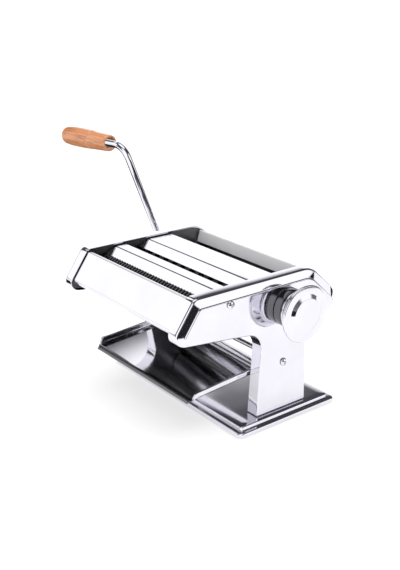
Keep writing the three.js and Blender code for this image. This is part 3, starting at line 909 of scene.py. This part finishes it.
disc = bmesh.new()
bmesh.ops.create_circle(disc, cap_ends=True, segments=64, radius=30)
floor = linked("floor", as_mesh("floor", disc))
floor_shader = Shader("lit_floor", (0.42, 0.42, 0.42), 0.9)
floor_shader.bsdf.inputs["Emission Color"].default_value = (1, 1, 1, 1)
floor_shader.bsdf.inputs["Emission Strength"].default_value = 0.56
floor.data.materials.append(floor_shader.material)


def heading(azimuth, elevation):
    """The direction from the machine towards a point of the studio; azimuth 0 is the front."""
    a, e = math.radians(azimuth), math.radians(elevation)
    return Vector((math.sin(a) * math.cos(e), -math.cos(a) * math.cos(e), math.sin(e)))


def sun(name, azimuth, elevation, strength, spread):
    """A broad even light that polished metal doesn't show."""
    light = bpy.data.lights.new(name, "SUN")
    light.energy = strength
    light.angle = math.radians(spread)
    obj = linked(name, light)
    obj.rotation_euler = heading(azimuth, elevation).to_track_quat("Z", "Y").to_euler()
    obj.visible_glossy = False


sun("key_light", 150, 78, 2.05, 60)
sun("fill_light", 15, 55, 1.65, 120)


def reflected_card(name, rings):
    """A dark card that only polished metal shows, like a flag beside a product."""
    bm = bmesh.new()
    loft(bm, rings, closed=False)
    obj = linked(name, as_mesh(name, bm))
    material = bpy.data.materials.new(name)
    material.use_nodes = True
    tree = material.node_tree
    tree.nodes.clear()
    emission = tree.nodes.new("ShaderNodeEmission")
    emission.inputs["Color"].default_value = (0.02, 0.02, 0.022, 1)
    output = tree.nodes.new("ShaderNodeOutputMaterial")
    tree.links.new(emission.outputs["Emission"], output.inputs["Surface"])
    obj.data.materials.append(material)
    for ray in ("camera", "diffuse", "transmission", "shadow", "volume_scatter"):
        setattr(obj, f"visible_{ray}", False)


def arc(radius, start, end, steps=48):
    """Points on an arc just above the table, round the gap knob's side of the machine."""
    points = []
    for k in range(steps + 1):
        a = math.radians(start + (end - start) * k / steps)
        points.append(row((110 + radius * math.cos(a), 70 + radius * math.sin(a), 1)))
    return points


reflected_card("dark_floor", [arc(400, -35, 60), arc(12000, -35, 60)])
reflected_card("rear_flag", [arc(430, 150, 215), arc(900, 150, 215)])

world = bpy.data.worlds.new("studio")
world.use_nodes = True
bpy.context.scene.world = world
nodes, links = world.node_tree.nodes, world.node_tree.links
direction = nodes.new("ShaderNodeTexCoord").outputs["Generated"]
height = nodes.new("ShaderNodeSeparateXYZ")
links.new(direction, height.inputs[0])
room = nodes.new("ShaderNodeValToRGB")
room.color_ramp.elements[0].position = 0.05
room.color_ramp.elements[0].color = (0.2, 0.2, 0.21, 1)
room.color_ramp.elements[1].position = 0.5
room.color_ramp.elements[1].color = (0.07, 0.07, 0.08, 1)
links.new(height.outputs["Z"], room.inputs["Fac"])
shade = room.outputs["Color"]
# Large bright panels: the direction of each, and the cosines where it is full and where it ends
PANELS = [
    ((-0.76, 0.62, 0.17), 0.982, 0.945),
    ((-0.74, 0.02, 0.675), 0.99, 0.98),
    ((-0.78, 0.45, 0.43), 0.995, 0.987),
    ((-0.759, -0.55, 0.35), 0.965, 0.93),
    ((0.806, 0.582, 0.103), 0.95, 0.9),
    ((0.6, -0.75, 0.3), 0.93, 0.82),
    ((0, 0, 1), 0.93, 0.82),
]
for aim, full, end in PANELS:
    facing = nodes.new("ShaderNodeVectorMath")
    facing.operation = "DOT_PRODUCT"
    facing.inputs[1].default_value = Vector(aim).normalized()
    links.new(direction, facing.inputs[0])
    panel = nodes.new("ShaderNodeMapRange")
    panel.interpolation_type = "SMOOTHSTEP"
    panel.inputs["From Min"].default_value = end
    panel.inputs["From Max"].default_value = full
    links.new(facing.outputs["Value"], panel.inputs["Value"])
    mix = nodes.new("ShaderNodeMix")
    mix.data_type = "RGBA"
    mix.inputs["B"].default_value = (1.3, 1.3, 1.31, 1)
    links.new(panel.outputs["Result"], mix.inputs["Factor"])
    links.new(shade, mix.inputs["A"])
    shade = mix.outputs["Result"]
links.new(shade, nodes["Background"].inputs["Color"])

CAMERA_PLACE = (582.1, -459.8, 381.6)
CAMERA_AZIMUTH = 51.586
CAMERA_ELEVATION = 20.471
CAMERA_ROLL = math.radians(0.3946)
camera_data = bpy.data.cameras.new("camera")
camera_data.sensor_width = 36
camera_data.lens = 55.34
camera_data.clip_end = 100
camera = linked("camera", camera_data)
back = heading(CAMERA_AZIMUTH, CAMERA_ELEVATION)
right = heading(CAMERA_AZIMUTH + 90, 0)
up = back.cross(right)
x_axis = right * math.cos(CAMERA_ROLL) + up * math.sin(CAMERA_ROLL)
y_axis = up * math.cos(CAMERA_ROLL) - right * math.sin(CAMERA_ROLL)
camera.matrix_world = Matrix((x_axis, y_axis, back)).transposed().to_4x4()
camera.location = row(CAMERA_PLACE)
bpy.context.scene.camera = camera
bpy.context.scene.view_settings.view_transform = "Standard"

bpy.context.view_layer.update()
